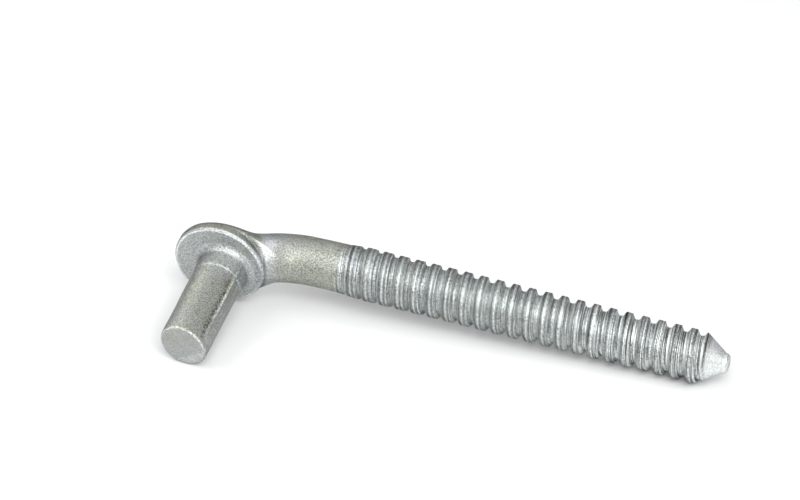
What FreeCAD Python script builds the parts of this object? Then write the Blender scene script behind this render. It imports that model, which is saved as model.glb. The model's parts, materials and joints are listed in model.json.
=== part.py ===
"""Gate hinge pin: a lag-threaded screw hook with an upright pin and a round shoulder.

One forging. It is drawn with the shank along +X, the pin along +Z and the middle of the bend's
plane at Y = 0, and is then laid down as it comes to rest on a floor: on its shoulder, on the end
of its pin and on its thread near the point.
"""
import FreeCAD, Part
import math
import os

from FreeCAD import Placement, Rotation, Vector

# Driving dimensions: millimetres and degrees

bar_diameter = 15.0            # plain round bar: the pin, the bend and the neck

pin_length = 36.7              # shoulder face to pin end
pin_end_bevel = 0.8            # broken edge of the pin end
pin_root_hollow = 2.0          # hollow corner at the foot of the pin, turned in two bevels

shoulder_diameter = 28.6
shoulder_thickness = 5.0
shoulder_edge_bevel = 1.5      # both edges of the rim
shoulder_set_back = 1.6        # shoulder centre behind the pin axis, away from the shank
shoulder_height = 11.8         # shoulder face above the shank axis

bend_radius = 25.5             # centre line of the bend
bend_reach = 24.4              # pin axis to where the bend runs out into the straight neck
neck_length = 8.9              # straight neck, from the bend to the first trace of the groove

shank_length = 156.3           # pin axis to the tip of the point
point_length = 8.6             # cone at the end of the thread
point_flat_diameter = 4.3      # blunt end of the cone

thread_diameter = 16.1         # over the crests
thread_pitch = 5.08            # five turns to the inch
thread_depth = 1.4
thread_fade_length = 16.0      # the groove runs out to nothing over this length
thread_swell_length = 11.0     # the bar grows to the crest diameter over this length
thread_root_width = 1.3
thread_flank_angle = 25.0      # each flank, from square to the axis
thread_lead_in = 2.64          # the groove comes in off the cone, this far short of the tip

# Sizes that follow from them

bar_radius = bar_diameter / 2
crest_radius = thread_diameter / 2
shoulder_radius = shoulder_diameter / 2
pin_end_height = shoulder_height + pin_length
shoulder_middle_height = shoulder_height - shoulder_thickness / 2
thread_length = shank_length - bend_reach - neck_length
swell_start = bend_reach + neck_length - thread_pitch / 2
cone_start = shank_length - point_length
root_radius = crest_radius - thread_depth


def turned(corners, axis):
    """Solid of revolution about an axis through the origin, from the corners (x, z) of its half section."""
    points = [Vector(x, 0, z) for x, z in corners]
    return Part.Face(Part.makePolygon(points + points[:1])).revolve(Vector(0, 0, 0), axis, 360)


def upright_pin():
    """Round pin on the Z axis, with a hollow foot on the shoulder and a broken edge at its end."""
    foot_radius = bar_radius + pin_root_hollow
    step = pin_root_hollow * (1 - math.cos(math.radians(45)))
    return turned([
        (0, shoulder_middle_height),
        (foot_radius, shoulder_middle_height),
        (foot_radius, shoulder_height),
        (bar_radius + step, shoulder_height + step),
        (bar_radius, shoulder_height + pin_root_hollow),
        (bar_radius, pin_end_height - pin_end_bevel),
        (bar_radius - pin_end_bevel, pin_end_height),
        (0, pin_end_height),
    ], Vector(0, 0, 1))


def shoulder_disc():
    """Round shoulder with both edges of its rim bevelled, set back from the pin axis."""
    underside = shoulder_height - shoulder_thickness
    disc = turned([
        (0, underside),
        (shoulder_radius - shoulder_edge_bevel, underside),
        (shoulder_radius, underside + shoulder_edge_bevel),
        (shoulder_radius, shoulder_height - shoulder_edge_bevel),
        (shoulder_radius - shoulder_edge_bevel, shoulder_height),
        (0, shoulder_height),
    ], Vector(0, 0, 1))
    disc.translate(Vector(-shoulder_set_back, 0, 0))
    return disc


def bent_neck():
    """The bar's bend, from the straight neck up into the shoulder and flush with its face."""
    section = Part.Face(Part.Wire(Part.makeCircle(bar_radius, Vector(bend_reach, 0, 0), Vector(1, 0, 0))))
    outer_radius = bend_radius + bar_radius
    turn = math.degrees(math.acos((bend_radius - shoulder_middle_height) / outer_radius))
    bend = section.revolve(Vector(bend_reach, 0, bend_radius), Vector(0, 1, 0), turn)
    waste = Part.makeBox(bend_reach + outer_radius, bar_diameter * 2, bend_radius)
    waste.translate(Vector(bend_reach - outer_radius - bar_radius, -bar_diameter, shoulder_height))
    return bend.cut(waste)


def shank_blank():
    """Straight neck, swelling to the crest diameter, with a blunt cone at its end."""
    return turned([
        (bend_reach, 0),
        (bend_reach, bar_radius),
        (swell_start, bar_radius),
        (swell_start + thread_swell_length, crest_radius),
        (cone_start, crest_radius),
        (shank_length, point_flat_diameter / 2),
        (shank_length, 0),
    ], Vector(1, 0, 0))


def thread_groove():
    """The groove to cut: a right-hand helix from the point that climbs out of the bar at the neck."""
    full_length = thread_length - thread_fade_length - thread_lead_in
    full = Part.makeLongHelix(thread_pitch, full_length, root_radius, 0)
    fade_angle = math.degrees(math.atan((bar_radius - root_radius) / thread_fade_length))
    fade = Part.makeLongHelix(thread_pitch, thread_fade_length + thread_pitch, root_radius, fade_angle)
    fade.rotate(Vector(0, 0, 0), Vector(0, 0, 1), 360 * full_length / thread_pitch)
    fade.translate(Vector(0, 0, full_length))
    top_radius = crest_radius + thread_depth / 2
    half_root = thread_root_width / 2
    half_top = half_root + (top_radius - root_radius) * math.tan(math.radians(thread_flank_angle))
    section = Part.makePolygon([
        Vector(root_radius, 0, -half_root),
        Vector(top_radius, 0, -half_top),
        Vector(top_radius, 0, half_top),
        Vector(root_radius, 0, half_root),
        Vector(root_radius, 0, -half_root),
    ])
    groove = Part.Wire(full.Edges + fade.Edges).makePipeShell([section], True, True)
    groove.rotate(Vector(0, 0, 0), Vector(0, 1, 0), -90)
    groove.translate(Vector(shank_length - thread_lead_in, 0, 0))
    return groove


def resting_normal():
    """Upward normal of the floor that touches shoulder rim, pin end and the last full crest."""
    normal = Vector(0, 1, 0)
    for _ in range(12):
        down = -normal
        across = Vector(down.x, down.y, 0).normalize()
        rim = Vector(-shoulder_set_back, 0, shoulder_height - shoulder_edge_bevel)
        rim += across * shoulder_radius
        end = Vector(0, 0, pin_end_height - pin_end_bevel) + across * bar_radius
        crest = Vector(cone_start, 0, 0) + Vector(0, down.y, down.z).normalize() * crest_radius
        normal = (end - rim).cross(crest - rim).normalize()
    return normal


def laid_down(shape):
    """Turn the floor normal to +Z with the shank along +X, and centre the part on the floor."""
    up = resting_normal()
    along = Vector(1, 0, 0) - up * up.x
    along.normalize()
    turn = Rotation(along, up.cross(along), up, "ZXY").inverted()
    shape.Placement = Placement(Vector(0, 0, 0), turn)
    box = shape.optimalBoundingBox(False, False)
    shape.translate(Vector(-box.Center.x, -box.Center.y, -box.ZMin))
    return shape


forging = shoulder_disc().fuse([upright_pin(), bent_neck(), shank_blank()]).removeSplitter()
hinge_pin = forging.cut(thread_groove()).Solids[0]
os.makedirs("parts", exist_ok=True)
laid_down(hinge_pin).exportStep("parts/hinge_pin.step")
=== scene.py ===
"""Looks of the gate hinge pin: its forged head and rolled thread, bright zinc plating, and a plain studio.

The forging is drawn in axes of its own: the shank along x, the pin along z, from the point where the two
axes cross. The record's mounts say where those axes lie in the frame.
"""
import json
import math
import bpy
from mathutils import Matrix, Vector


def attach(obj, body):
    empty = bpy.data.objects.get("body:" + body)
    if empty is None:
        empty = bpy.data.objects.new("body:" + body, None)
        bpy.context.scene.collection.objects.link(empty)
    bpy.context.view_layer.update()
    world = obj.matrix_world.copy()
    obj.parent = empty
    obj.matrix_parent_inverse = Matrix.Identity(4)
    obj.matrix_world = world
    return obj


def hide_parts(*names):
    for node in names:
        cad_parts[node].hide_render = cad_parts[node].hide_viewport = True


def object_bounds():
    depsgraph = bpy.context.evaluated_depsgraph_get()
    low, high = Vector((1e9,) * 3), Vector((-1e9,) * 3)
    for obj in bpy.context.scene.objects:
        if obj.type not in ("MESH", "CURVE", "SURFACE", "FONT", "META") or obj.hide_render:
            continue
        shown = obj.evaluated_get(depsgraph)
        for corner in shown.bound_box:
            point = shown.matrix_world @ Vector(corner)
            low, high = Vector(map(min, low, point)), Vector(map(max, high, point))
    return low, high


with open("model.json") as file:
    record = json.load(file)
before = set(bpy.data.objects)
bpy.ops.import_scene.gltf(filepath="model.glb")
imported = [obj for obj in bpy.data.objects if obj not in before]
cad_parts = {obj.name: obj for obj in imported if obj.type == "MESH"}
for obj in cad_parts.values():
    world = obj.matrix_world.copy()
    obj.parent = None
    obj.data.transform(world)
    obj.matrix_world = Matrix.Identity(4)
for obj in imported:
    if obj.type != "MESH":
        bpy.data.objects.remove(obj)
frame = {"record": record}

from types import SimpleNamespace

import bmesh
import bpy
import numpy as np
from bpy.props import FloatProperty, FloatVectorProperty, PointerProperty
from mathutils import Matrix, Vector

bl_info = {
    "name": "Gate hinge pin",
    "version": (1, 0, 0),
    "blender": (4, 5, 0),
    "location": "3D View > Sidebar > Hinge pin",
    "description": "Builds a gate hinge pin's forged head, rolled thread and zinc plating, and a studio",
    "category": "Object",
}

CAD_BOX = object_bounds()
MOUNTS = {mount["name"]: mount for mount in frame["record"]["mounts"]}
PIN_MOUNT = MOUNTS["pintle_pin"]
THREAD_MOUNT = MOUNTS["lag_thread"]
MM = 0.001
FULL_TURN = 2 * math.pi


# Kinds of setting

def length(name, description, millimetres):
    """A size in metres, given in millimetres."""
    return FloatProperty(name=name, description=description, default=millimetres * MM,
                         unit="LENGTH", precision=5)


def turn(name, description, degrees):
    """An angle in radians, given in degrees."""
    return FloatProperty(name=name, description=description, default=math.radians(degrees), subtype="ANGLE")


def share(name, description, value):
    """A number from 0 to 1."""
    return FloatProperty(name=name, description=description, default=value,
                         min=0.0, max=1.0, subtype="FACTOR")


def amount(name, description, value):
    """A number from 0 up."""
    return FloatProperty(name=name, description=description, default=value, min=0.0)


def power(name, description, watts):
    """The strength of a lamp in watts."""
    return FloatProperty(name=name, description=description, default=watts, min=0.0, unit="POWER")


def tint(name, description, red, green, blue):
    """A colour."""
    return FloatVectorProperty(name=name, description=description, default=(red, green, blue), size=3,
                               min=0.0, max=1.0, subtype="COLOR")


class ForgingSizes(bpy.types.PropertyGroup):
    """Sizes of the forged head and the rolled thread."""
    bar_diameter: length("Bar diameter", "Round bar of pin, bend and neck", 2 * PIN_MOUNT["dims"]["r_mm"])
    pin_length: length("Pin length", "Shoulder face to pin end", 36.6)
    pin_end_round: length("Pin end round", "Rounding of the edge at the pin's end", 0.8)
    pin_end_slant: turn("Pin end slant", "Sheared end of the pin, out of square", 8.0)
    pin_end_slant_side: turn("Pin end slant side", "Where the pin is longest, around from the shank", 15.0)
    end_facet_place: length("End facet place", "Where the facet on the pin's end begins, from its axis", 3.3)
    end_facet_side: turn("End facet side", "Where the facet is widest, around the pin from the shank", -49.0)
    end_facet_slope: turn("End facet slope", "Fall of the facet from the sheared end", 7.0)
    pin_root_hollow: length("Pin root hollow", "Hollow corner at the foot of the pin", 2.5)
    pin_draft: length("Pin draft", "How much thicker the foot of the pin is, on the shank's side", 0.2)
    die_ring_height: length("Die ring height", "Ring left by the die, above the shoulder face", 7.4)
    die_ring_step: length("Die ring step", "How far that ring stands proud", 0.18)
    parting_line_side: turn("Parting line side", "Where the dies met, around the pin from the shank", 35.0)
    parting_ridge: length("Parting ridge", "Flash left standing where the dies met", 0.2)
    parting_ridge_width: length("Parting ridge width", "Half width of that flash", 0.35)
    parting_flat: length("Parting flat", "Metal dressed off beside the flash", 0.3)

    shoulder_diameter: length("Shoulder diameter", "Across the round shoulder", 28.6)
    shoulder_thickness: length("Shoulder thickness", "Face to underside", 5.0)
    shoulder_round: length("Shoulder round", "Rounded edge at the back of the rim", 2.8)
    face_round: length("Face round", "Rounded edge of the shoulder face", 1.0)
    shoulder_set_back: length("Shoulder set back", "Shoulder's middle behind the pin axis", 1.6)
    shoulder_lift: length("Shoulder lift", "Shoulder's middle above the plane of the bend", 0.3)
    shoulder_height: length("Shoulder height", "Shoulder face above the shank axis", 11.8)

    bend_radius: length("Bend radius", "Centre line of the bend", 25.5)
    bend_reach: length("Bend reach", "Pin axis to the straight neck", 24.4)
    neck_length: length("Neck length", "Straight neck, from the bend to the first trace of the groove", 9.8)
    upper_web: length("Upper web", "Hollow behind the shoulder, where the neck's upper side meets it", 9.0)
    lower_web: length("Lower web", "The same hollow on the lower side", 4.0)
    crease_round: length("Crease round", "Hollow between the shoulder's rim and the neck", 0.8)
    neck_sag: length("Neck sag", "How far the bend hangs below the plane of pin and shank", 0.4)
    forging_wave: length("Forging wave", "Unevenness of the forged surface", 0.05)

    shank_length: length("Shank length", "Pin axis to the tip of the point", 156.3)
    point_length: length("Point length", "Cone at the end of the thread", 8.6)
    point_flat: length("Point flat", "Blunt end of the cone", 4.3)
    point_round: length("Point round", "Rounded edge of the blunt end", 1.6)
    point_blend: length("Point blend", "Softened edge where the thread runs into the cone", 0.5)

    crest_diameter: length("Crest diameter", "Over the thread's crests", 2 * THREAD_MOUNT["dims"]["r_mm"])
    crest_lip: length("Crest lip", "How far the crest stands up on the neck's side", 0.05)
    crest_wave: length("Crest wave", "Unevenness of the crests", 0.025)
    swell_length: length("Swell length", "Over which the bar grows to the crests", 11.0)
    pitch: length("Pitch", "One turn of the thread", 5.08)
    lead_in: length("Lead in", "Start of the groove, short of the tip", 2.96)
    early_depth: length("Early depth", "Depth of the groove just after its start at the neck", 0.95)
    early_length: length("Early length", "Over which the groove comes in", 5.0)
    full_depth: length("Full depth", "Depth of the groove towards the point", 1.58)
    deepening_start: length("Deepening start", "Where the groove deepens, from its first trace", 7.0)
    deepening_length: length("Deepening length", "Over which it reaches its full depth", 55.0)
    root_width: length("Root width", "Flat bottom of the groove", 0.9)
    flank_angle: turn("Flank angle", "Each side of the groove, from square to the axis", 38.0)

    net_step: length("Net step", "Mesh size of the forged head", 0.36)
    ring_step: length("Ring step", "Spacing of the rings along the thread", 0.25)


class ZincFinish(bpy.types.PropertyGroup):
    """Colours, grain and marks of the zinc plating, with painted shade and painted highlights."""
    cool: tint("Cool zinc", "Bluish plating of the shoulder", 0.465, 0.49, 0.482)
    rolled: tint("Rolled zinc", "Plating of the thread", 0.38, 0.406, 0.397)
    warm: tint("Warm zinc", "Yellowish plating of the neck and pin", 0.42, 0.435, 0.386)
    lilac: tint("Lilac clouds", "Filter over one half of the plating's clouds", 0.96, 0.95, 1.0)
    straw: tint("Straw clouds", "Filter over the other half", 1.0, 0.98, 0.94)
    grazing: tint("Grazing zinc", "What the plating sends back at a flat angle", 0.25, 0.25, 0.25)
    metal: share("Metal", "How much of the plating is bright metal, the rest being dull bloom", 0.88)

    roughness: share("Roughness", "Dullness of the plating", 0.36)
    grain_dullness: share("Grain dullness", "How far the finer grain changes the dullness", 0.16)
    rub_dullness: share("Rub dullness", "What rubbing adds to it along the crest", 0.06)
    neck_dullness: share("Neck dullness", "What the neck adds to it", 0.12)
    thread_gloss: share("Thread gloss", "What the thread takes from it", 0.05)

    grain_scale: amount("Grain scale", "Grains in a millimetre, about", 2.1)
    fine_scale: amount("Fine scale", "Finer grains in a millimetre, about", 4.2)
    speck_scale: amount("Speck scale", "Places for a dark speck in a millimetre, about", 1.4)
    pit_scale: amount("Pit scale", "Places for a pit in a millimetre, about", 1.5)
    patch_scale: amount("Patch scale", "Tinted patches in a millimetre, about", 0.3)
    cloud_scale: amount("Cloud scale", "Clouds in a millimetre, about", 0.12)
    speckle: share("Speckle", "Contrast of the plating's grain", 0.6)
    fine_share: share("Fine share", "Contrast of the finer grain beside the coarser one", 0.6)
    grain_calm: share("Grain calm", "How much of that contrast the point and the pin's end lack", 0.4)
    grain_depth: length("Grain depth", "Height of the plating's grain", 0.05)
    fine_depth: length("Fine depth", "Height of the finer grain", 0.02)

    lines_in_pitch: amount("Lines in a pitch", "Rolling lines beside each other in one pitch, about", 21.0)
    lines_in_turn: amount("Lines in a turn", "Rolling lines behind each other in one turn, about", 2.5)
    streaks: share("Streaks", "Contrast of the rolling lines around the thread", 1.0)
    line_depth: length("Line depth", "Height of the rolling lines around the thread", 0.055)
    rub: share("Rub", "Brightness of the line rubbed along the crest", 0.7)
    # Painted shade: darkens both edges of each crest, where the flanks shade them
    painted_edge_shade: share("Edge shade", "Darkness of the crest's two edges", 0.4)
    # Painted light: brightens both sides of the groove, which the lamps leave dim
    painted_flank_light: share("Flank shine", "Brightness of the groove's two sides", 1.0)
    speck_shade: share("Speck shade", "Darkness of the specks on the thread", 0.45)
    # Painted highlight: the thread grows brighter towards the point
    painted_far_highlight: share("Far shine", "How much brighter the thread grows towards the point", 0.38)
    # Painted highlight on the point
    painted_point_highlight: share("Point shine", "How much brighter again the point is", 0.2)

    # Painted highlight along the flash, whose ridge is real in the mesh
    painted_flash_highlight: amount("Flash shine", "Brightness of the flash along the parting line", 1.4)
    pit_shade: share("Pit shade", "Darkness of the pits beside the flash", 0.75)
    pit_depth: length("Pit depth", "Depth of those pits", 0.12)
    ring_line_depth: length("Ring line depth", "Drop at the upper edge of the die's ring", 0.09)
    # Painted highlight on the pin's upper side, and painted shade beside its parting line
    painted_side_highlight: share("Side shine", "Brightness of the pin's upper side, away from the shank", 0.22)
    painted_side_shade: share("Side shade", "Darkness of the pin beside its parting line", 0.2)
    end_shade: share("End shade", "Darkness of the pin's end", 0.12)
    # Painted highlight on the facet
    painted_facet_highlight: share("Facet shine", "Brightness of the facet on that end", 0.25)

    # Painted highlight on a patch in the bend
    painted_bend_highlight: amount("Polish", "Brightness of the polished patch in the bend", 1.2)
    # Painted shade that damps the neck's highlight
    painted_neck_shade: share("Neck shade", "Darkness of the neck", 0.1)
    # Painted shade on the shoulder's rim
    painted_rim_shade: share("Rim shade", "Darkness of the shoulder's rim", 0.25)
    # Painted shade in the crease
    painted_crease_shade: share("Crease shade", "Darkness of the crease between shoulder and neck", 0.5)
    # Painted highlight along the edges of the shoulder's face and the pin's end
    painted_edge_highlight: share("Wear", "Brightness of the worn edges of shoulder and pin", 0.9)


class StudioSettings(bpy.types.PropertyGroup):
    """Floor, lamps and camera."""
    floor: tint("Floor", "Pale floor", 0.82, 0.82, 0.82)
    room: tint("Room", "Light of the white room", 0.9, 0.92, 0.95)
    room_strength: amount("Room strength", "Brightness of the room", 0.30)
    front: power("Front lamp", "Soft lamp above the camera", 8.8)
    left: power("Left lamp", "Soft lamp on the pin's side", 3.6)
    right: power("Right lamp", "Soft lamp on the point's side", 2.2)
    back_left: power("Back left lamp", "Soft lamp behind the shoulder", 1.7)
    back_right: power("Back right lamp", "Soft lamp behind the thread", 1.3)
    overhead: power("Overhead lamp", "Soft lamp straight above", 1.5)
    view_turn: turn("View turn", "Camera from the pin's side towards the point", 16.11)
    view_height: turn("View height", "Camera above the plane of pin and shank", 43.5)
    view_roll: turn("View roll", "Camera tilt, clockwise", 2.66)
    view_distance: length("View distance", "Camera to the crossing of pin and shank", 1361.91)
    view_right: length("View right", "Middle of the picture, right of that crossing", 50.06)
    view_down: length("View down", "Middle of the picture, below that crossing", 2.5)
    lens: FloatProperty(name="Lens", description="Focal length of the camera", default=200.0, unit="CAMERA")


def drawing_axes(sizes):
    """The matrix that takes the forging's own axes to the frame."""
    along = Vector(THREAD_MOUNT["axis"]).normalized()
    upright = Vector(PIN_MOUNT["axis"]).normalized()
    axes = Matrix((along, upright.cross(along), upright)).transposed().to_4x4()
    axes.translation = Vector(THREAD_MOUNT["pos_m"]) - along * sizes.shank_length
    return axes


# Distances to the forged head: negative inside the metal

def smooth(value):
    """An even step from 0 to 1."""
    value = np.clip(value, 0.0, 1.0)
    return value * value * (3 - 2 * value)


def bell(value, width):
    """1 at zero, falling off evenly to both sides."""
    return np.exp(-(value / width) ** 2)


def joined(a, b, radius):
    """Two bodies made one, with a hollow corner of that radius where they meet."""
    corner = np.hypot(np.maximum(radius - a, 0), np.maximum(radius - b, 0))
    return np.maximum(radius, np.minimum(a, b)) - corner


def trimmed(a, b, radius):
    """One body trimmed by another, with a rounded edge of that radius."""
    edge = np.hypot(np.maximum(radius + a, 0), np.maximum(radius + b, 0))
    return np.minimum(-radius, np.maximum(a, b)) + edge


def parting_relief(sizes, x, y, z):
    """Flash, pits and dressed flat along the pin where the dies met."""
    across = (np.arctan2(y, x) - sizes.parting_line_side) * sizes.bar_diameter / 2
    foot = sizes.shoulder_height + sizes.pin_root_hollow
    end = sizes.shoulder_height + sizes.pin_length
    foot_fade = 4 * MM
    end_fade = 2 * MM
    along = smooth((z - foot) / foot_fade) * smooth((end - z) / end_fade)
    wander = 0.15 * MM * np.sin(z / (2.1 * MM)) + 0.1 * MM * np.sin(z / (0.83 * MM))
    ridge = bell(across + wander, sizes.parting_ridge_width)
    pit_place = 0.9 * MM
    pit_width = 0.45 * MM
    pit_share = 0.4
    broken = smooth(0.5 + np.sin(z / (0.62 * MM)) * np.sin(z / (1.7 * MM) + 1.0))
    pits = bell(across - pit_place + wander, pit_width) * broken * pit_share
    near_side = -0.3 * MM
    far_side = -3.4 * MM
    near_fade = 0.5 * MM
    far_fade = 1.0 * MM
    flat = smooth((across - far_side) / far_fade) * smooth((near_side - across) / near_fade)
    return along * (sizes.parting_ridge * (ridge - pits) - sizes.parting_flat * flat)


def pin_distance(sizes, x, y, z):
    """The upright pin: sheared end with its facet, rounded edge, ring left by the die and parting line."""
    side = x * math.cos(sizes.pin_end_slant_side) + y * math.sin(sizes.pin_end_slant_side)
    end = z - sizes.shoulder_height - sizes.pin_length - side * math.tan(sizes.pin_end_slant)
    beyond = x * math.cos(sizes.end_facet_side) + y * math.sin(sizes.end_facet_side) - sizes.end_facet_place
    end = end + np.maximum(beyond, 0) * math.tan(sizes.end_facet_slope)
    ring_edge = 0.5 * MM
    ring = smooth((sizes.shoulder_height + sizes.die_ring_height - z) / ring_edge) * sizes.die_ring_step
    draft = sizes.pin_draft * (1 - (z - sizes.shoulder_height) / sizes.pin_length)
    wall = np.hypot(x - draft, y) - sizes.bar_diameter / 2 - draft - ring - parting_relief(sizes, x, y, z)
    pin = trimmed(wall, end * math.cos(sizes.pin_end_slant), sizes.pin_end_round)
    return np.maximum(pin, sizes.shoulder_height - sizes.shoulder_thickness / 2 - z)


def neck_middle(sizes, x):
    """Height of the neck's middle, which hangs a little between the shoulder and the thread."""
    lowest = sizes.bend_reach - 4 * MM
    half_width = 7 * MM
    return -sizes.neck_sag * bell(x - lowest, half_width)


def neck_distance(sizes, x, y, z):
    """The bar's bend and the start of its straight neck."""
    bend = np.hypot(x - sizes.bend_reach, z - sizes.bend_radius) - sizes.bend_radius
    centre = np.where(x < sizes.bend_reach, bend, z)
    return np.hypot(centre, y - neck_middle(sizes, x)) - sizes.bar_diameter / 2


def forging_waves(sizes, x, y, z):
    """Gentle unevenness of hot-forged metal, from waves whose lengths don't fall into step."""
    wave = np.sin(x / (2.3 * MM) + y / (3.1 * MM)) * np.sin(y / (1.9 * MM) - z / (2.7 * MM) + 0.7)
    return sizes.forging_wave * (wave + 0.6 * np.sin(z / (3.7 * MM) + x / (4.3 * MM) + 2.0))


def head_distance(sizes, points):
    """Pin, shoulder and bent neck as one forging."""
    x, y, z = np.moveaxis(points, -1, 0)
    underside = sizes.shoulder_height - sizes.shoulder_thickness
    rim = np.hypot(x + sizes.shoulder_set_back, y - sizes.shoulder_lift) - sizes.shoulder_diameter / 2
    face = z - sizes.shoulder_height
    disc = trimmed(trimmed(rim, underside - z, sizes.shoulder_round), face, sizes.face_round)
    neck = trimmed(neck_distance(sizes, x, y, z), face, sizes.face_round)
    web_start = -1.2 * MM
    web_span = 2.4 * MM
    web_sides = 10 * MM
    behind = smooth((web_start - face) / web_span)
    web = sizes.lower_web + (sizes.upper_web - sizes.lower_web) * smooth(0.5 + y / web_sides)
    body = joined(disc, neck, sizes.crease_round + (web - sizes.crease_round) * behind)
    body = np.maximum(body, face)
    head = joined(body, pin_distance(sizes, x, y, z), sizes.pin_root_hollow)
    waves_stop = sizes.bend_reach + 1 * MM
    waves_fade = 4 * MM
    return head - smooth((waves_stop - x) / waves_fade) * forging_waves(sizes, x, y, z)


# The rolled thread: radius around the shank's axis

def groove_depth(sizes, x):
    """Depth of the groove along the shank: quick at the neck, then deeper towards the point."""
    start = x - sizes.bend_reach - sizes.neck_length
    early = sizes.early_depth * (1 - np.exp(-np.maximum(start, 0) / sizes.early_length))
    deeper = smooth((start - sizes.deepening_start) / sizes.deepening_length)
    return early + (sizes.full_depth - sizes.early_depth) * deeper


def crest_place(sizes, x, around):
    """Distance from the middle of the crest, towards the point, in one turn of the thread."""
    turns = (sizes.shank_length - sizes.lead_in - x) / sizes.pitch - around / FULL_TURN
    return (0.5 - turns % 1.0) * sizes.pitch


def groove_share(sizes, x, around):
    """0 on the crest, 1 at the bottom of the groove."""
    narrowest_flank = 0.35 * MM
    flank = np.maximum(groove_depth(sizes, x) * math.tan(sizes.flank_angle), narrowest_flank)
    top = sizes.pitch / 2 - sizes.root_width / 2 - flank
    return smooth((np.abs(crest_place(sizes, x, around)) - top) / flank)


def shank_radius(sizes, x, around):
    """Radius of the neck, thread and point at a place along and around the shank."""
    bar = sizes.bar_diameter / 2
    crest = sizes.crest_diameter / 2
    swell_start = sizes.bend_reach + sizes.neck_length - sizes.pitch / 2
    swell = smooth((x - swell_start) / sizes.swell_length)
    depth = groove_depth(sizes, x)
    lip_width = 0.8 * MM
    lip_depth = 1.0 * MM
    lip = smooth(-crest_place(sizes, x, around) / lip_width) * smooth(depth / lip_depth)
    lobes = 3
    wave = np.sin(x / (5.3 * MM) + lobes * around) * swell
    outside = bar + (crest - bar) * swell + sizes.crest_lip * lip + sizes.crest_wave * wave
    thread = outside - depth * groove_share(sizes, x, around)
    slope = (crest - sizes.point_flat / 2) / sizes.point_length
    cone = sizes.point_flat / 2 + (sizes.shank_length - x) * slope
    mix = np.clip(0.5 + 0.5 * (cone - thread) / sizes.point_blend, 0, 1)
    return cone + (thread - cone) * mix - sizes.point_blend * mix * (1 - mix)


# Meshes

def surface_net(distance, low, high, step):
    """Points and quads of the surface where a distance is zero, one point in each cell that it crosses."""
    counts = [int(math.ceil((h - l) / step)) + 1 for l, h in zip(low, high)]
    low = np.array(low)
    grid = low + step * np.stack(np.meshgrid(*[np.arange(n) for n in counts], indexing="ij"), -1)
    value = distance(grid)
    cells = tuple(n - 1 for n in counts)
    total = np.zeros(cells + (3,))
    hits = np.zeros(cells)
    quads = []
    for axis in range(3):
        first = np.take(value, range(counts[axis] - 1), axis)
        second = np.take(value, range(1, counts[axis]), axis)
        edge = np.argwhere((first < 0) != (second < 0))
        at = tuple(edge.T)
        point = low + step * edge
        point[:, axis] += step * first[at] / (first[at] - second[at])
        u, v = (axis + 1) % 3, (axis + 2) % 3
        ring = []
        inside = np.ones(len(edge), bool)
        for du, dv in ((0, 0), (-1, 0), (-1, -1), (0, -1)):
            cell = edge.copy()
            cell[:, u] += du
            cell[:, v] += dv
            fits = np.all((cell >= 0) & (cell < cells), axis=1)
            np.add.at(total, tuple(cell[fits].T), point[fits])
            np.add.at(hits, tuple(cell[fits].T), 1)
            inside &= fits
            ring.append(cell)
        ring = np.stack(ring, 1)[inside]
        outward = first[at][inside] < 0
        ring[~outward] = ring[~outward][:, ::-1]
        quads.append(ring)
    number = np.full(cells, -1)
    number[hits > 0] = np.arange(np.count_nonzero(hits))
    points = total[hits > 0] / hits[hits > 0][:, None]
    quads = np.concatenate(quads)
    return points, number[quads[..., 0], quads[..., 1], quads[..., 2]]


def settled(distance, points, step):
    """The points moved onto the surface along its slope."""
    rounds = 4
    reach = step * 0.05
    least_slope = 0.2
    for _ in range(rounds):
        slope = np.stack([distance(points + offset) - distance(points - offset)
                          for offset in np.eye(3) * reach], -1) / (2 * reach)
        slope /= np.maximum(np.sum(slope ** 2, -1), least_slope)[:, None]
        points = points - np.clip(distance(points)[:, None] * slope, -step / 2, step / 2)
    return points


def head_mesh(sizes):
    """Points and quads of the forged head, open where the straight neck is cut."""
    margin = 1.5 * sizes.net_step
    rim = sizes.shoulder_diameter / 2
    cut = sizes.bend_reach + sizes.neck_length * 0.4
    slanted_end = 1 * MM
    top = sizes.shoulder_height + sizes.pin_length + slanted_end
    low = (-rim - sizes.shoulder_set_back - margin, -rim - margin, -sizes.bar_diameter / 2 - margin)
    high = (cut, rim + sizes.shoulder_lift + margin, top + margin)

    def distance(points):
        return head_distance(sizes, points)

    points, quads = surface_net(distance, low, high, sizes.net_step)
    return settled(distance, points, sizes.net_step), quads


def shank_mesh(sizes, start, columns=96):
    """Points and faces of the neck, thread and point, from a place along the shank to the blunt end."""
    stop = sizes.shank_length - sizes.point_round
    x = np.linspace(start, stop, int(round((stop - start) / sizes.ring_step)) + 1)
    around = np.linspace(0, FULL_TURN, columns, endpoint=False)
    radius = shank_radius(sizes, x[:, None], around[None, :])
    nose_rings = 5
    nose_angles = np.linspace(0, math.pi / 2, nose_rings + 1)[1:]
    last = radius[-1] - sizes.point_round
    nose = [last + sizes.point_round * math.cos(angle) for angle in nose_angles]
    flat = [last * 0.66, last * 0.33]
    x = np.concatenate([x, stop + sizes.point_round * np.sin(nose_angles), [sizes.shank_length] * len(flat)])
    radius = np.concatenate([radius, nose, flat])
    along = np.broadcast_to(x[:, None], radius.shape)
    across = radius * np.sin(around) + neck_middle(sizes, along)
    points = np.stack([along, across, radius * np.cos(around)], -1)
    rings = len(x)
    index = np.arange(rings * columns).reshape(rings, columns)
    beside = np.roll(index, -1, axis=1)
    quads = np.stack([index[:-1], beside[:-1], beside[1:], index[1:]], -1).reshape(-1, 4)
    tip = rings * columns
    cap = np.stack([index[-1], beside[-1], np.full(columns, tip)], -1)
    points = np.concatenate([points.reshape(-1, 3), [[sizes.shank_length, 0, 0]]])
    return points, quads.tolist() + cap.tolist()


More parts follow.
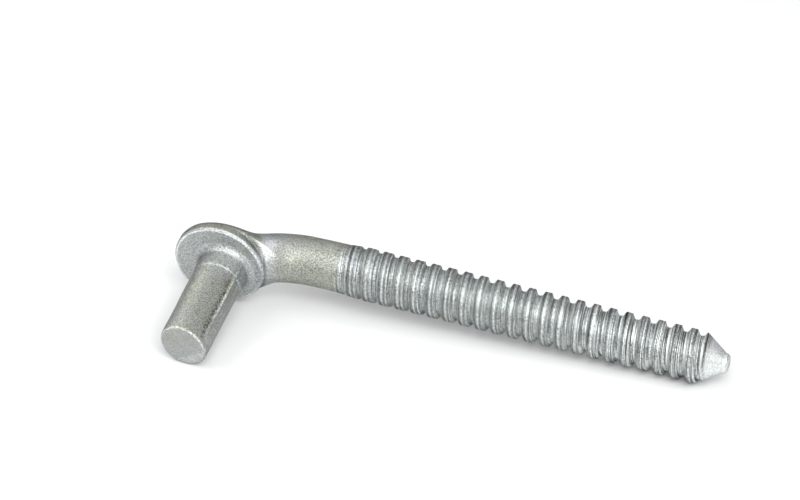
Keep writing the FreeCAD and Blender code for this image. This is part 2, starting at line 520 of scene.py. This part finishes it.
def forging_mesh(sizes):
    """The whole forging as one closed mesh, in its own axes."""
    head, head_faces = head_mesh(sizes)
    start = head[:, 0].max() + sizes.net_step
    shank, shank_faces = shank_mesh(sizes, start)
    mesh = bpy.data.meshes.new("hinge_pin_forging")
    shifted = [[corner + len(head) for corner in face] for face in shank_faces]
    mesh.from_pydata(np.concatenate([head, shank]).tolist(), [], head_faces.tolist() + shifted)
    work = bmesh.new()
    work.from_mesh(mesh)
    bmesh.ops.remove_doubles(work, verts=work.verts, dist=sizes.net_step * 0.02)
    open_edges = [edge for edge in work.edges if edge.is_boundary]
    bmesh.ops.bridge_loops(work, edges=open_edges)
    bmesh.ops.recalc_face_normals(work, faces=work.faces)
    if any(not edge.is_manifold for edge in work.edges):
        raise RuntimeError("the forging isn't closed")
    work.to_mesh(mesh)
    work.free()
    mesh.polygons.foreach_set("use_smooth", [True] * len(mesh.polygons))
    return mesh


def mark_surface(mesh, sizes):
    """Store on each point its place in millimetres and its share of the thread."""
    points = np.zeros(len(mesh.vertices) * 3, np.float32)
    mesh.vertices.foreach_get("co", points)
    x = points.reshape(-1, 3)[:, 0].astype(float)
    fade = 2 * MM
    thread_start = sizes.bend_reach + sizes.neck_length * 0.9
    thread_stop = sizes.shank_length - sizes.point_length + 1 * MM
    share_of_thread = smooth((x - thread_start) / fade) * (1 - smooth((x - thread_stop) / fade))
    thread = mesh.attributes.new("thread", "FLOAT", "POINT")
    thread.data.foreach_set("value", share_of_thread.astype(np.float32))
    place = mesh.attributes.new("place", "FLOAT_VECTOR", "POINT")
    place.data.foreach_set("vector", points / np.float32(MM))


# Shading

class Wire:
    """A shader socket that takes part in Python expressions."""

    def __init__(self, shader, socket):
        self.shader = shader
        self.socket = socket

    def _math(self, operation, *values):
        """The result of a Math node on those values."""
        return self.shader.node("ShaderNodeMath", {"operation": operation}, dict(enumerate(values)))

    def __add__(self, other):
        return self._math("ADD", self, other)

    def __radd__(self, other):
        return self._math("ADD", other, self)

    def __sub__(self, other):
        return self._math("SUBTRACT", self, other)

    def __rsub__(self, other):
        return self._math("SUBTRACT", other, self)

    def __mul__(self, other):
        return self._math("MULTIPLY", self, other)

    def __rmul__(self, other):
        return self._math("MULTIPLY", other, self)

    def clamped(self):
        """The value held between 0 and 1."""
        return self.shader.node("ShaderNodeClamp", {}, {"Value": self})

    def step(self, low, high, first=0.0, last=1.0):
        """An even step from the first value at low to the last value at high."""
        settings = {"interpolation_type": "SMOOTHSTEP"}
        inputs = {"Value": self, "From Min": low, "From Max": high, "To Min": first, "To Max": last}
        return self.shader.node("ShaderNodeMapRange", settings, inputs)

    def bell(self, middle, width, height=1.0):
        """A height at the middle, falling off evenly to both sides."""
        away = (self - middle) * (1 / width)
        return self._math("EXPONENT", away * away * -1.0) * height

    def fraction(self):
        """The part after the whole number."""
        return self._math("FRACT", self)

    def angle(self, other):
        """The angle whose tangent is this value over another."""
        return self._math("ARCTAN2", self, other)


class Shader:
    """The node tree of one material."""

    def __init__(self, name):
        self.material = bpy.data.materials.new(name)
        self.material.use_nodes = True
        self.tree = self.material.node_tree
        self.surface = self.tree.nodes["Principled BSDF"].inputs

    def node(self, kind, settings, inputs, output=0):
        """Add a node, set it up, feed its sockets and return one of its outputs."""
        node = self.tree.nodes.new(kind)
        for key, value in settings.items():
            setattr(node, key, value)
        for key, value in inputs.items():
            self.feed(node.inputs[key], value)
        return Wire(self, node.outputs[output])

    def feed(self, socket, value):
        """Link a wire to a socket, or set the socket's own value."""
        if isinstance(value, Wire):
            self.tree.links.new(value.socket, socket)
        else:
            socket.default_value = value

    def mark(self, name, output="Fac"):
        """A value stored on the mesh."""
        return self.node("ShaderNodeAttribute", {"attribute_name": name}, {}, output)

    def noise(self, place, scale, detail=2.0):
        """Cloudy noise from 0 to 1."""
        return self.node("ShaderNodeTexNoise", {}, {"Vector": place, "Scale": scale, "Detail": detail})

    def mixed(self, factor, first, second):
        """One colour going over into another."""
        return self.node("ShaderNodeMix", {"data_type": "RGBA"}, {0: factor, 6: first, 7: second}, 2)

    def filtered(self, colour, factor, glass):
        """A colour seen through coloured glass."""
        settings = {"data_type": "RGBA", "blend_type": "MULTIPLY"}
        return self.node("ShaderNodeMix", settings, {0: factor, 6: colour, 7: glass}, 2)

    def scaled(self, colour, factor):
        """A colour made brighter or darker."""
        return self.node("ShaderNodeVectorMath", {"operation": "SCALE"}, {0: colour, "Scale": factor})

    def part(self, place, axis):
        """One coordinate of a place."""
        return self.node("ShaderNodeSeparateXYZ", {}, {"Vector": place}, axis)

    def joined(self, x, y, z):
        """A place made of three coordinates."""
        return self.node("ShaderNodeCombineXYZ", {}, {0: x, 1: y, 2: z})

    def reach(self, x, y):
        """Distance from an axis."""
        place = self.joined(x, y, 0.0)
        return self.node("ShaderNodeVectorMath", {"operation": "LENGTH"}, {0: place}, "Value")


def solid(colour):
    """A colour with nothing see-through about it."""
    return (*colour, 1)


# The zinc plating: its places are in millimetres

def surface_places(shader, sizes):
    """Where a point lies: along the shank, above the shoulder face, and from the forging's round forms."""
    place = shader.mark("place", "Vector")
    x, y, z = (shader.part(place, axis) for axis in "XYZ")
    pin_radius = sizes.bar_diameter / 2 / MM
    shoulder_radius = sizes.shoulder_diameter / 2 / MM
    from_shoulder_axis = shader.reach(x + sizes.shoulder_set_back / MM, y - sizes.shoulder_lift / MM)
    facet_way = x * math.cos(sizes.end_facet_side) + y * math.sin(sizes.end_facet_side)
    # A share of a turn from the pin's side, which starts anew on the unseen underside
    around = 0.25 - z.angle(y) * (1 / FULL_TURN)
    turns = (sizes.shank_length - sizes.lead_in) / sizes.pitch - x * (MM / sizes.pitch) - around
    thread = shader.mark("thread")
    return SimpleNamespace(
        place=place,
        x=x,
        along=x - (sizes.bend_reach + sizes.neck_length) / MM,
        past_cone=x - (sizes.shank_length - sizes.point_length) / MM,
        above_face=z - sizes.shoulder_height / MM,
        past_wall=shader.reach(x, y) - pin_radius,
        past_rim=from_shoulder_axis - shoulder_radius,
        past_facet=facet_way - sizes.end_facet_place / MM,
        across=(y.angle(x) - sizes.parting_line_side) * pin_radius,
        around=around,
        turns=turns,
        crest=(0.5 - turns.fraction()) * (sizes.pitch / MM),
        thread=thread,
        bare=1.0 - thread,
    )


def plating_grain(shader, finish, place):
    """Grain, specks, pits and clouds, each from 0 to 1."""
    return SimpleNamespace(
        coarse=shader.noise(place, finish.grain_scale, 2.0).step(0.3, 0.7),
        fine=shader.noise(place, finish.fine_scale, 1.0).step(0.3, 0.7),
        specks=shader.noise(place, finish.speck_scale, 1.0).step(0.62, 0.7),
        pits=shader.noise(place, finish.pit_scale, 2.0).step(0.46, 0.56),
        patches=shader.noise(place, finish.patch_scale, 1.0).step(0.45, 0.65),
        clouds=shader.noise(place, finish.cloud_scale).step(0.35, 0.65),
    )


def thread_marks(shader, finish, at):
    """Marks of rolling and rubbing, and painted shade and highlights, by their place along the thread and
    from the middle of its crest.
    """
    unrolled = shader.joined(at.turns * finish.lines_in_pitch, at.around * finish.lines_in_turn, 0.0)
    lines = shader.noise(unrolled, 1.0, 1.0).step(0.4, 0.6) - 0.5
    calm_crest = at.crest.bell(0.0, 0.4) * at.along.step(60.8, 100.8, 0.8, 0.2)
    stronger_lines = at.along.step(45.8, 95.8, 0.65, 1.55)
    rubbed = at.crest.bell(0.06, 0.2) * at.along.step(60.8, 100.8, 1.0, 0.0)
    # Painted shade along both edges of each crest
    edges = at.crest.bell(-0.8, 0.5, 1.25) + at.crest.bell(0.84, 0.3)
    # Painted light on both sides of the groove, stronger where it is deeper
    flanks = at.crest.bell(-1.65, 0.45, 1.35) + at.crest.bell(1.42, 0.3, 0.65)
    deeper_groove = at.along.step(5.8, 50.8, 0.3, 1.0)
    return {
        "lines": lines * (1.0 - calm_crest) * stronger_lines * at.thread,
        "rubbed": rubbed * at.thread,
        "edges": edges * at.thread,
        "flanks": flanks * deeper_groove * at.thread,
        # Painted highlight growing towards the point
        "far": at.along.step(50.8, 95.8),
        # The point: a painted highlight there, and calmer grain
        "cone": at.past_cone.step(0.3, 3.3),
    }


def pin_marks(finish, at, grain):
    """Marks on the pin: its end and facet, the die's ring, and flash and pits along the parting line, with
    painted highlights on the facet, the end's edge, the flash and the upper side, and painted shade beside
    the parting line.
    """
    top = at.above_face.step(33.7, 34.2)
    end = top * at.past_wall.step(-0.8, -0.4, 1.0, 0.0)
    ragged_edge = (grain.coarse - 0.5) * 1.6
    wall = at.above_face.step(5.2, 12.2)
    line = at.above_face.step(7.7, 10.2) * at.above_face.step(32.2, 35.7, 1.0, 0.0)
    fading = at.above_face.step(21.2, 28.2, 1.0, 0.3)
    # Painted highlight on the pin's upper side, and painted shade beside its parting line
    painted_upper_highlight = at.across.bell(10.0, 2.5, finish.painted_side_highlight)
    line_side = at.across.bell(4.5, 3.0, finish.painted_side_shade)
    return {
        "end": end,
        # The facet on the end, which carries a painted highlight
        "facet": end * (at.past_facet + ragged_edge).step(-0.2, 0.8),
        # Painted highlight along the upper edge of the pin's end
        "worn_end": at.past_wall.bell(-0.3, 0.18) * top * at.past_facet.step(-2.0, 0.0, 0.6, 0.1),
        "die_ring": at.above_face.step(7.2, 7.7),
        # Painted highlight along the flash of the parting line
        "flash": at.across.bell(0.0, 0.4) * line * fading,
        "pits": at.across.bell(1.0, 0.9) * line * grain.pits,
        # Painted highlight and painted shade on the pin's wall, off its end
        "sides": (painted_upper_highlight - line_side) * wall * (1.0 - end),
        "warm_wall": wall * at.across.step(-2.5, -0.8, 0.2, 1.0),
    }


def head_marks(at):
    """Marks on the shoulder, the bend and the neck: warm tint, painted shade on the rim, crease and neck,
    and painted highlights on the rim's edge and in the bend.
    """
    off_neck = at.x.step(9.0, 12.0, 1.0, 0.0)
    rim_height = at.above_face.step(-7.8, -5.8) * at.above_face.step(-1.2, -0.6, 1.0, 0.0)
    neck = at.x.step(11.0, 19.0) * at.x.step(60.0, 61.0, 1.0, 0.0)
    return {
        # The rim band: its own warm tint, and painted shade that darkens it
        "rim": at.past_rim.step(-1.1, -0.3) * rim_height * off_neck,
        # Painted highlight along the edge of the shoulder's face
        "worn_rim": at.past_rim.bell(-0.6, 0.22) * at.above_face.step(-1.0, -0.5) * off_neck,
        # Painted shade in the crease between the shoulder's rim and the neck
        "crease": at.past_rim.bell(0.4, 0.4) * at.above_face.step(-4.3, -2.3) * at.x.step(3.0, 6.0),
        "neck": neck,
        # The bare neck: painted shade, and more dullness
        "bare_neck": neck * at.bare,
        # Painted highlight on a patch in the bend
        "polished": at.x.bell(12.8, 2.4) * at.around.bell(0.13, 0.055),
    }


def plating_colour(shader, finish, at, grain, marks):
    """Cool zinc, the thread's own tone, warm zinc on neck, rim and pin, and faint clouds over them."""
    warm_places = (marks.neck + marks.rim + marks.warm_wall).clamped() * at.bare
    cloudy = 0.55 + grain.clouds * 0.45 + marks.neck * 0.2
    cooler_end = 1.0 - marks.end * 0.6
    colour = shader.mixed(at.thread, solid(finish.cool), solid(finish.rolled))
    colour = shader.mixed(warm_places * cloudy * cooler_end, colour, solid(finish.warm))
    clouds = shader.mixed(grain.clouds, solid(finish.lilac), solid(finish.straw))
    return shader.filtered(colour, grain.patches, clouds)


def plating_light(finish, at, grain, marks):
    """How much brighter or darker than its colour each place is, from grain, marks, painted shade and
    painted highlights.
    """
    grain_contrast = 1.0 - marks.cone * finish.grain_calm - marks.end * finish.grain_calm
    speckle = (grain.coarse - 0.5) + (grain.fine - 0.5) * finish.fine_share
    light = 1.0
    for mark, strength in (
        (speckle * grain_contrast, finish.speckle),
        (marks.lines, finish.streaks),
        (marks.rubbed, finish.rub),
        (marks.edges, -finish.painted_edge_shade),
        (marks.flanks, finish.painted_flank_light),
        (grain.specks * at.thread, -finish.speck_shade),
        (marks.far, finish.painted_far_highlight),
        (marks.cone, finish.painted_point_highlight),
        (marks.flash, finish.painted_flash_highlight),
        (marks.pits, -finish.pit_shade),
        (marks.sides, 1.0),
        # Painted highlight on the facet, and the end's darker tone
        (marks.facet * finish.painted_facet_highlight - marks.end * finish.end_shade, 1.0),
        (marks.polished, finish.painted_bend_highlight),
        (marks.bare_neck, -finish.painted_neck_shade),
        (marks.rim, -finish.painted_rim_shade),
        (marks.crease, -finish.painted_crease_shade),
        # Painted highlights along the edges of the shoulder's face and the pin's end
        (marks.worn_rim + marks.worn_end, finish.painted_edge_highlight),
    ):
        light = light * (1.0 + mark * strength)
    return light


def plating_roughness(finish, at, grain, marks):
    """Dullness: uneven with the grain, more on the rubbed crest and the neck, less on the thread."""
    added = (grain.fine - 0.5) * finish.grain_dullness
    added = added + marks.rubbed * finish.rub_dullness + marks.bare_neck * finish.neck_dullness
    return (finish.roughness + added - at.thread * finish.thread_gloss).clamped()


def plating_height(finish, grain, marks):
    """Height of the grain, the rolling lines, the pits and the die's ring."""
    raised = (
        (grain.coarse, finish.grain_depth),
        (grain.fine, finish.fine_depth),
        (marks.lines, finish.line_depth),
        (marks.pits, -finish.pit_depth),
        (marks.die_ring, -finish.ring_line_depth),
    )
    return sum(mark * (depth / MM) for mark, depth in raised)


def zinc_material(finish, sizes):
    """Bright zinc plating: cool and warm areas, grain, rolling lines, rubbed places, and painted shade and
    highlights.
    """
    shader = Shader("zinc_plating")
    at = surface_places(shader, sizes)
    grain = plating_grain(shader, finish, at.place)
    marks = SimpleNamespace(
        **thread_marks(shader, finish, at),
        **pin_marks(finish, at, grain),
        **head_marks(at),
    )
    colour = plating_colour(shader, finish, at, grain, marks)
    light = plating_light(finish, at, grain, marks)
    height = plating_height(finish, grain, marks)
    bump = shader.node("ShaderNodeBump", {}, {"Height": height, "Strength": 1.0, "Distance": MM})
    shader.feed(shader.surface["Base Color"], shader.scaled(colour, light))
    shader.feed(shader.surface["Roughness"], plating_roughness(finish, at, grain, marks))
    shader.feed(shader.surface["Normal"], bump)
    shader.feed(shader.surface["Metallic"], finish.metal)
    shader.feed(shader.surface["Specular Tint"], solid(finish.grazing))
    return shader.material


def floor_material(colour):
    """Pale matt floor with the faintest unevenness."""
    shader = Shader("pale_floor")
    place = shader.node("ShaderNodeTexCoord", {}, {}, "Object")
    clouds_in_metre = 6.0
    unevenness = 1.02
    paler = [min(1.0, channel * unevenness) for channel in colour]
    mottled = shader.mixed(shader.noise(place, clouds_in_metre), solid(colour), solid(paler))
    shader.feed(shader.surface["Base Color"], mottled)
    shader.feed(shader.surface["Roughness"], 0.7)
    return shader.material


# The piece

class HINGEPIN_OT_forging(bpy.types.Operator):
    """Build the forged head and rolled thread as one zinc-plated piece"""
    bl_idname = "hingepin.forging"
    bl_label = "Forging"

    def execute(self, context):
        sizes = context.scene.hinge_pin_sizes
        mesh = forging_mesh(sizes)
        mark_surface(mesh, sizes)
        mesh.transform(drawing_axes(sizes))
        mesh.materials.append(zinc_material(context.scene.hinge_pin_finish, sizes))
        piece = bpy.data.objects.new("hinge_pin_forging", mesh)
        context.scene.collection.objects.link(piece)
        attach(piece, "root")
        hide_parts("hinge_pin")
        return {"FINISHED"}


# The studio

FLOOR_SIZE = 6.0
LAMP_SIZE = 0.7
LAMP_PLACES = {
    # Degrees from the camera's heading, towards the point, and degrees above the floor
    "front": (8, 45),
    "left": (-80, 42),
    "right": (60, 42),
    "back_left": (-135, 40),
    "back_right": (150, 40),
    "overhead": (0, 88),
}


def pale_floor(context, studio):
    """The floor that the forging lies on."""
    half = FLOOR_SIZE / 2
    corners = [(-half, -half, 0), (half, -half, 0), (half, half, 0), (-half, half, 0)]
    mesh = bpy.data.meshes.new("floor")
    mesh.from_pydata(corners, [], [(0, 1, 2, 3)])
    mesh.materials.append(floor_material(studio.floor))
    floor = bpy.data.objects.new("floor", mesh)
    context.scene.collection.objects.link(floor)


def white_room(context, studio):
    """Even light from all around."""
    room = bpy.data.worlds.new("white_room")
    room.use_nodes = True
    background = room.node_tree.nodes["Background"].inputs
    background["Color"].default_value = solid(studio.room)
    background["Strength"].default_value = studio.room_strength
    context.scene.world = room


def soft_lamp(context, name, watts, aim, heading, rise):
    """A soft square lamp one metre from its aim, at a heading and a rise above the floor."""
    lamp = bpy.data.lights.new(name, "AREA")
    lamp.size = LAMP_SIZE
    lamp.energy = watts
    way = Vector((math.cos(heading) * math.cos(rise), math.sin(heading) * math.cos(rise), math.sin(rise)))
    holder = bpy.data.objects.new(name, lamp)
    holder.location = aim + way
    holder.rotation_euler = (-way).to_track_quat("-Z", "Y").to_euler()
    context.scene.collection.objects.link(holder)


def view_camera(context, axes, studio):
    """The camera, placed from the forging's own axes."""
    up = Vector((0, 1, 0))
    level = math.cos(studio.view_height)
    back = Vector((math.sin(studio.view_turn) * level,
                   math.sin(studio.view_height),
                   math.cos(studio.view_turn) * level))
    right = up.cross(back).normalized()
    top = back.cross(right)
    roll = Matrix.Rotation(studio.view_roll, 3, back)
    right, top = roll @ right, roll @ top
    turned = Matrix((right, top, back)).transposed().to_4x4()
    turned.translation = back * studio.view_distance + right * studio.view_right - top * studio.view_down
    data = bpy.data.cameras.new("photo_view")
    data.lens = studio.lens
    data.sensor_width = 36.0
    data.clip_end = 20.0
    camera = bpy.data.objects.new("photo_view", data)
    camera.matrix_world = axes @ turned
    context.scene.collection.objects.link(camera)
    context.scene.camera = camera
    return camera


class HINGEPIN_OT_studio(bpy.types.Operator):
    """Set up the pale floor, the white room, the soft lamps and the camera"""
    bl_idname = "hingepin.studio"
    bl_label = "Studio"

    def execute(self, context):
        studio = context.scene.hinge_pin_studio
        pale_floor(context, studio)
        white_room(context, studio)
        camera = view_camera(context, drawing_axes(context.scene.hinge_pin_sizes), studio)
        facing = camera.matrix_world.to_3x3() @ Vector((0, 0, 1))
        camera_heading = math.atan2(facing.y, facing.x)
        middle = (CAD_BOX[0] + CAD_BOX[1]) / 2
        for name, (aside, rise) in LAMP_PLACES.items():
            heading = camera_heading + math.radians(aside)
            soft_lamp(context, name + "_lamp", getattr(studio, name), middle, heading, math.radians(rise))
        context.scene.view_settings.view_transform = "Standard"
        return {"FINISHED"}


class HINGEPIN_PT_panel(bpy.types.Panel):
    """Buttons that build the hinge pin and its studio, with their settings"""
    bl_label = "Hinge pin"
    bl_idname = "HINGEPIN_PT_panel"
    bl_space_type = "VIEW_3D"
    bl_region_type = "UI"
    bl_category = "Hinge pin"

    def draw(self, context):
        """Each button above the settings that it uses."""
        scene = context.scene
        for operator, groups in (
            (HINGEPIN_OT_forging, (scene.hinge_pin_sizes, scene.hinge_pin_finish)),
            (HINGEPIN_OT_studio, (scene.hinge_pin_studio,)),
        ):
            self.layout.operator(operator.bl_idname)
            for settings in groups:
                box = self.layout.box()
                for name in settings.bl_rna.properties.keys():
                    if name not in {"rna_type", "name"}:
                        box.prop(settings, name)


CLASSES = (
    ForgingSizes,
    ZincFinish,
    StudioSettings,
    HINGEPIN_OT_forging,
    HINGEPIN_OT_studio,
    HINGEPIN_PT_panel,
)


def register():
    """Add the settings, the operators and the panel."""
    for cls in CLASSES:
        bpy.utils.register_class(cls)
    bpy.types.Scene.hinge_pin_sizes = PointerProperty(type=ForgingSizes)
    bpy.types.Scene.hinge_pin_finish = PointerProperty(type=ZincFinish)
    bpy.types.Scene.hinge_pin_studio = PointerProperty(type=StudioSettings)


def unregister():
    """Take them away again."""
    del bpy.types.Scene.hinge_pin_studio
    del bpy.types.Scene.hinge_pin_finish
    del bpy.types.Scene.hinge_pin_sizes
    for cls in reversed(CLASSES):
        bpy.utils.unregister_class(cls)


def main():
    """Build the piece and its studio."""
    register()
    bpy.ops.hingepin.forging()
    bpy.ops.hingepin.studio()


if __name__ == "__main__":
    main()
